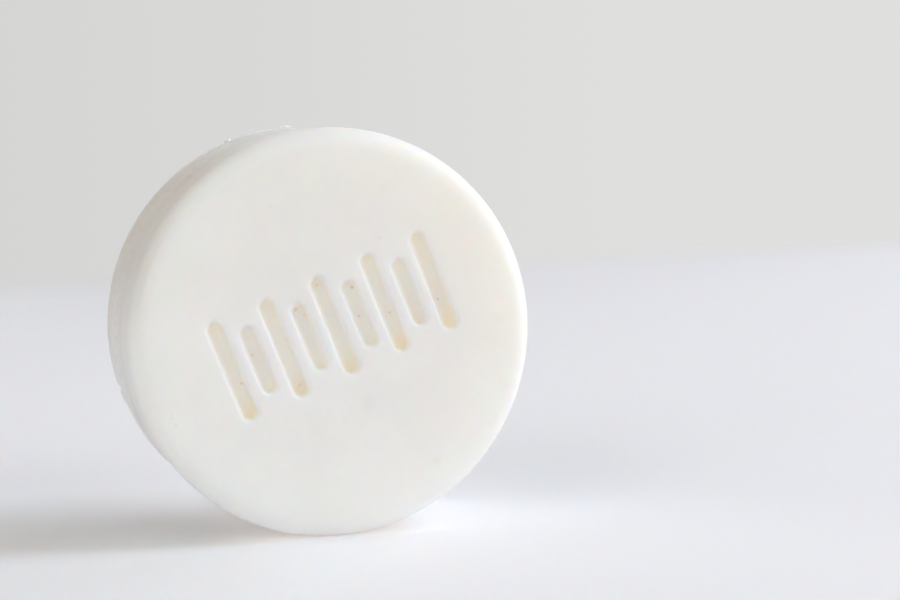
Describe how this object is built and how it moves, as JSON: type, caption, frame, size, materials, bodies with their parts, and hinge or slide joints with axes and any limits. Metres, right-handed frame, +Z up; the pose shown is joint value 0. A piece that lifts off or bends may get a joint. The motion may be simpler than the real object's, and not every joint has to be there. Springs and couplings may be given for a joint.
{
  "type": "shaving soap puck",
  "caption": "Round cast puck of white shaving soap standing on its edge, with a recessed band of round-ended grooves on its face.",
  "frame": {"origin": "middle of the footprint, on the surface that the puck stands on, edge down", "axes": "+Z up, +Y along the puck's axis and out of its plain cast back, so that the recessed front face looks towards -Y"},
  "size_m": [0.0706, 0.029, 0.0707],
  "materials": {
    "soap": "satin",
    "soap_crumb": "satin",
    "residue": "matte"
  },
  "bodies": {
    "root": {"soap_body": "soap", "rim_crumb_1": "soap_crumb", "rim_crumb_2": "soap_crumb", "rim_crumb_3": "soap_crumb", "residue_grain_1": "residue", "residue_grain_2": "residue", "residue_grain_3": "residue", "residue_grain_4": "residue", "residue_grain_5": "residue", "residue_grain_6": "residue", "residue_grain_7": "residue", "residue_grain_8": "residue", "residue_grain_9": "residue", "residue_grain_10": "residue"}
  },
  "joints": []
}
